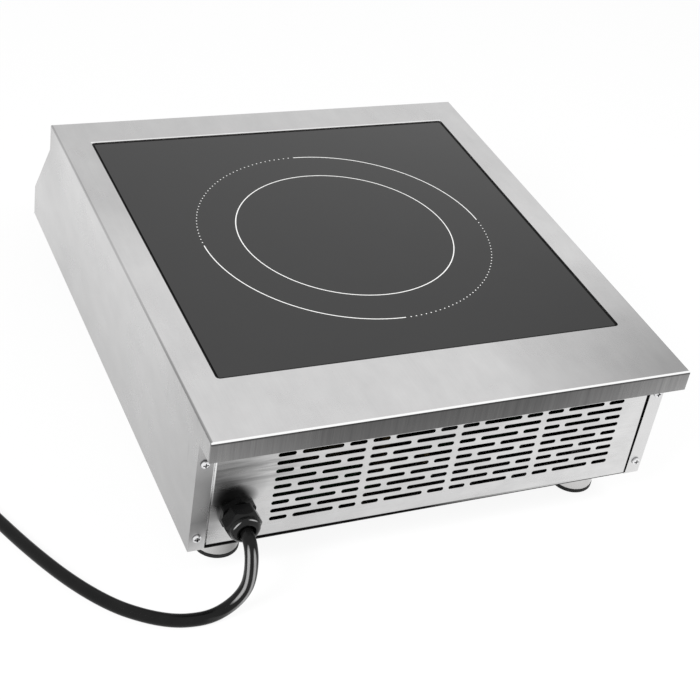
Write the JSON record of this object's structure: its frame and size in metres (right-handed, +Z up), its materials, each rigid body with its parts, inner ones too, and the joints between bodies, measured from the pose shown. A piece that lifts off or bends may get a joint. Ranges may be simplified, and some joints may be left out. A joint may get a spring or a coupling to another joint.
{
  "type": "counter-top induction cooker",
  "caption": "Counter-top induction cooker: stainless box with flush glass plate, sloping control panel with knob, slotted rear, round feet and a mains lead put away in a coil.",
  "frame": {"origin": "on the counter, under the middle of the casing (measured without the mains lead, its coil, its plug and the gland's nut)", "axes": "+Z up, -Y towards the control slope at the front, +Y towards the vented rear, +X towards the side that the mains lead leaves from"},
  "size_m": [0.661, 0.4519, 0.1329],
  "materials": {
    "stainless": "brushed satin",
    "plain_steel": "zinc plated",
    "screw_steel": "bright",
    "black_glass": "polished",
    "silicone": "satin",
    "foot_rubber": "matt",
    "cord_sheath": "smooth",
    "plug_plastic": "satin",
    "pin_brass": "nickel plated",
    "gland_nylon": "satin",
    "fascia_film": "satin film",
    "dark_window": "polished",
    "button_plastic": "satin",
    "knob_plastic": "satin",
    "pointer_white": "satin",
    "turned_metal": "turned",
    "spacer_brass": "plain",
    "spacer_nylon": "plain",
    "board_laminate": "solder mask",
    "black_component": "moulded",
    "yellow_component": "dipped",
    "green_component": "moulded",
    "litz_copper": "lacquered strands",
    "mica": "pressed sheet",
    "carrier_plastic": "moulded",
    "ferrite": "sintered",
    "wire_sleeve": "braided sleeve",
    "heat_sink_alloy": "extruded",
    "core_plastic": "smooth"
  },
  "bodies": {
    "casing": {"top_cover": "stainless", "front_panel": "stainless", "rear_panel": "stainless", "base_plate": "plain_steel", "casing_screws": "screw_steel", "glass_plate": "black_glass", "glass_seal": "silicone", "foot_cups": "stainless", "foot_pads": "foot_rubber", "foot_bolts": "plain_steel", "gland_body": "gland_nylon", "gland_nut": "gland_nylon", "gland_seal": "silicone", "gland_locknut": "gland_nylon", "control_fascia": "fascia_film", "display_window": "dark_window", "digit_display": "black_component", "display_board": "board_laminate", "display_standoffs": "spacer_nylon", "button_switches": "black_component", "potentiometer": "turned_metal", "potentiometer_nut": "turned_metal", "induction_coil": "litz_copper", "insulating_disc": "mica", "coil_carrier": "carrier_plastic", "ferrite_bars": "ferrite", "temperature_sensor": "spacer_nylon", "sensor_holder": "carrier_plastic", "coil_posts": "spacer_brass", "coil_screws": "screw_steel", "coil_leads": "wire_sleeve", "coil_terminals": "spacer_brass", "power_board": "board_laminate", "heat_sink": "heat_sink_alloy", "power_transistors": "black_component", "film_capacitors": "yellow_component", "power_board_parts": "black_component", "filter_board": "board_laminate", "filter_board_parts": "yellow_component", "terminal_block": "green_component", "board_standoffs": "spacer_brass", "board_screws": "screw_steel", "left_fan_frame": "black_component", "right_fan_frame": "black_component", "fan_screws": "screw_steel", "mains_cores": "core_plastic", "earth_stud": "spacer_brass", "power_cord": "cord_sheath", "cord_coil": "cord_sheath", "plug_body": "plug_plastic", "plug_pins": "pin_brass"},
    "knob": {"knob": "knob_plastic", "knob_pointer": "pointer_white", "knob_shaft": "turned_metal"},
    "power_button": {"power_button": "button_plastic"},
    "mode_button": {"mode_button": "button_plastic"},
    "minus_button": {"minus_button": "button_plastic"},
    "plus_button": {"plus_button": "button_plastic"},
    "left_fan_rotor": {"left_fan_rotor": "black_component"},
    "right_fan_rotor": {"right_fan_rotor": "black_component"}
  },
  "joints": [
    {"name": "knob_turn", "type": "hinge", "parent": "casing", "child": "knob", "pos_m": [0.092, -0.19613, 0.08516], "axis": [0, 0.8062, -0.5916], "range_deg": [0, 280]},
    {"name": "power_button_press", "type": "slide", "parent": "casing", "child": "power_button", "axis": [0, 0.8062, -0.5916], "range_m": [0, 0.0012], "stiffness_N_per_m": 500, "springref_m": -0.001},
    {"name": "mode_button_press", "type": "slide", "parent": "casing", "child": "mode_button", "axis": [0, 0.8062, -0.5916], "range_m": [0, 0.0012], "stiffness_N_per_m": 500, "springref_m": -0.001},
    {"name": "minus_button_press", "type": "slide", "parent": "casing", "child": "minus_button", "axis": [0, 0.8062, -0.5916], "range_m": [0, 0.0012], "stiffness_N_per_m": 500, "springref_m": -0.001},
    {"name": "plus_button_press", "type": "slide", "parent": "casing", "child": "plus_button", "axis": [0, 0.8062, -0.5916], "range_m": [0, 0.0012], "stiffness_N_per_m": 500, "springref_m": -0.001},
    {"name": "left_fan_spin", "type": "hinge", "parent": "casing", "child": "left_fan_rotor", "pos_m": [-0.062, -0.1406, 0.045], "axis": [0, 0, 1], "continuous": true},
    {"name": "right_fan_spin", "type": "hinge", "parent": "casing", "child": "right_fan_rotor", "pos_m": [0.062, -0.1406, 0.045], "axis": [0, 0, 1], "continuous": true}
  ]
}
